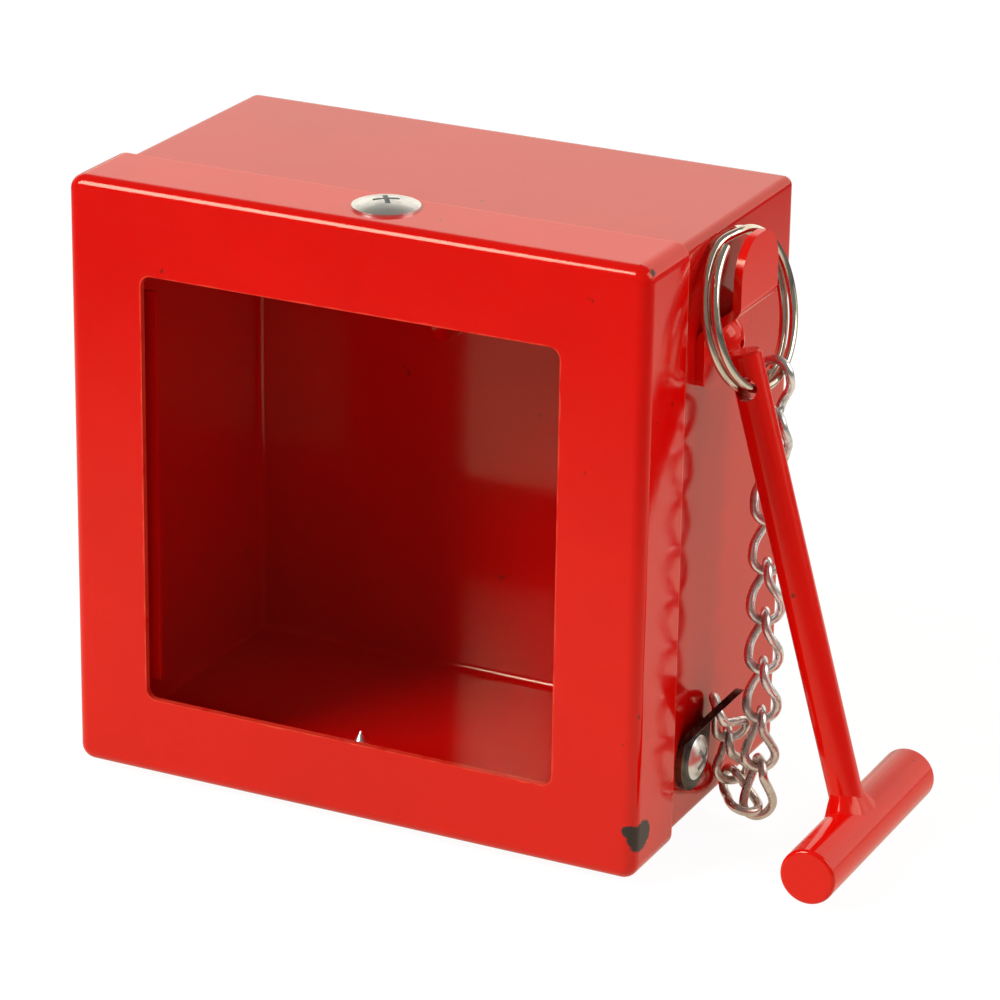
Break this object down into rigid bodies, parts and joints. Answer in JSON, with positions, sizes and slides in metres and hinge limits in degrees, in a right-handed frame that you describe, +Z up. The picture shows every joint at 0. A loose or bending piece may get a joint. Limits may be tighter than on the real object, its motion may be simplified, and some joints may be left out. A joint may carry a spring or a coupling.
{
  "type": "break glass key box",
  "caption": "Red wall box that keeps a key behind a glass pane, with a T-shaped hammer hung from a split ring on its side and tied to the box by a chain.",
  "frame": {"origin": "centre of the back face, which goes against the wall", "axes": "+X right seen from the front, +Y into the wall, +Z up"},
  "size_m": [0.144, 0.065, 0.113],
  "materials": {
    "red_powder_coat": "glossy red powder coat",
    "pane_glass": "clear float glass",
    "zinc_screw": "bright zinc plate",
    "zinc_chain": "dull zinc plate",
    "dark_steel": "blackened steel, worn bronze at the edges",
    "nickel_ring": "polished nickel plate"
  },
  "bodies": {
    "box": {"back_box": "red_powder_coat", "front_cover": "red_powder_coat", "glass_pane": "pane_glass", "glass_guide_left": "red_powder_coat", "glass_guide_right": "red_powder_coat", "cover_screw_top": "zinc_screw", "cover_screw_bottom": "zinc_screw", "key_hook": "red_powder_coat", "ring_hanger": "red_powder_coat", "hanger_rivet": "red_powder_coat", "chain_lug": "dark_steel", "lug_screw": "zinc_screw"},
    "ring": {"split_ring": "nickel_ring"},
    "hammer": {"hammer_handle": "red_powder_coat", "hammer_head": "red_powder_coat", "hammer_weld": "red_powder_coat"},
    "link_01": {"chain_link_01": "zinc_chain"},
    "link_02": {"chain_link_02": "zinc_chain"},
    "link_03": {"chain_link_03": "zinc_chain"},
    "link_04": {"chain_link_04": "zinc_chain"},
    "link_05": {"chain_link_05": "zinc_chain"},
    "link_06": {"chain_link_06": "zinc_chain"},
    "link_07": {"chain_link_07": "zinc_chain"},
    "link_08": {"chain_link_08": "zinc_chain"},
    "link_09": {"chain_link_09": "zinc_chain"},
    "link_10": {"chain_link_10": "zinc_chain"},
    "link_11": {"chain_link_11": "zinc_chain"},
    "link_12": {"chain_link_12": "zinc_chain"}
  },
  "joints": [
    {"name": "ring_rock", "type": "hinge", "parent": "box", "child": "ring", "pos_m": [0.05615, -0.03247, 0.05268], "axis": [-0.0715, -0.9974, 0], "range_deg": [-1, 5]},
    {"name": "hammer_swing", "type": "hinge", "parent": "ring", "child": "hammer", "pos_m": [0.06203, -0.0369, 0.02691], "axis": [-0.137, -0.9482, 0.2867], "range_deg": [-4.5, 7]},
    {"name": "link_12_swing", "type": "hinge", "parent": "box", "child": "link_12", "pos_m": [0.05665, -0.03487, -0.03306], "axis": [-0.0715, -0.9974, 0], "range_deg": [-0.3, 0.7]},
    {"name": "link_11_swing", "type": "hinge", "parent": "link_12", "child": "link_11", "pos_m": [0.05758, -0.02962, -0.0402], "axis": [-0.0715, -0.9974, 0], "range_deg": [-0.95, 0.35]},
    {"name": "link_10_swing", "type": "hinge", "parent": "link_11", "child": "link_10", "pos_m": [0.05628, -0.02733, -0.04993], "axis": [-0.0715, -0.9974, 0], "range_deg": [-1.34, 5.89]},
    {"name": "link_09_swing", "type": "hinge", "parent": "link_10", "child": "link_09", "pos_m": [0.06252, -0.03293, -0.05252], "axis": [-0.0715, -0.9974, 0], "range_deg": [-6.14, 1.39]},
    {"name": "link_08_swing", "type": "hinge", "parent": "link_09", "child": "link_08", "pos_m": [0.06339, -0.0305, -0.04449], "axis": [-0.0715, -0.9974, 0], "range_deg": [-2.2, 0.6]},
    {"name": "link_07_swing", "type": "hinge", "parent": "link_08", "child": "link_07", "pos_m": [0.06328, -0.03023, -0.03533], "axis": [-0.0715, -0.9974, 0], "range_deg": [-0.6, 2.2]},
    {"name": "link_06_swing", "type": "hinge", "parent": "link_07", "child": "link_06", "pos_m": [0.06318, -0.02996, -0.02616], "axis": [-0.0715, -0.9974, 0], "range_deg": [-2.2, 0.6]},
    {"name": "link_05_swing", "type": "hinge", "parent": "link_06", "child": "link_05", "pos_m": [0.06308, -0.02969, -0.017], "axis": [-0.0715, -0.9974, 0], "range_deg": [-0.6, 2.2]},
    {"name": "link_04_swing", "type": "hinge", "parent": "link_05", "child": "link_04", "pos_m": [0.06298, -0.02942, -0.00783], "axis": [-0.0715, -0.9974, 0], "range_deg": [-2.2, 0.6]},
    {"name": "link_03_swing", "type": "hinge", "parent": "link_04", "child": "link_03", "pos_m": [0.06288, -0.02915, 0.00133], "axis": [-0.0715, -0.9974, 0], "range_deg": [-0.6, 2.2]},
    {"name": "link_02_swing", "type": "hinge", "parent": "link_03", "child": "link_02", "pos_m": [0.06278, -0.02889, 0.0105], "axis": [-0.0715, -0.9974, 0], "range_deg": [-2.2, 0.6]},
    {"name": "link_01_swing", "type": "hinge", "parent": "link_02", "child": "link_01", "pos_m": [0.06268, -0.02862, 0.01966], "axis": [-0.0715, -0.9974, 0], "range_deg": [-0.6, 2.2]}
  ],
  "couplings": [
    {"joint": "link_12_swing", "follows": "ring_rock", "ratio": 0.1},
    {"joint": "link_11_swing", "follows": "ring_rock", "ratio": -0.15},
    {"joint": "link_10_swing", "follows": "ring_rock", "ratio": 1.1379},
    {"joint": "link_09_swing", "follows": "ring_rock", "ratio": -1.1875},
    {"joint": "link_08_swing", "follows": "ring_rock", "ratio": -0.4},
    {"joint": "link_07_swing", "follows": "ring_rock", "ratio": 0.4},
    {"joint": "link_06_swing", "follows": "ring_rock", "ratio": -0.4},
    {"joint": "link_05_swing", "follows": "ring_rock", "ratio": 0.4},
    {"joint": "link_04_swing", "follows": "ring_rock", "ratio": -0.4},
    {"joint": "link_03_swing", "follows": "ring_rock", "ratio": 0.4},
    {"joint": "link_02_swing", "follows": "ring_rock", "ratio": -0.4},
    {"joint": "link_01_swing", "follows": "ring_rock", "ratio": 0.4}
  ]
}
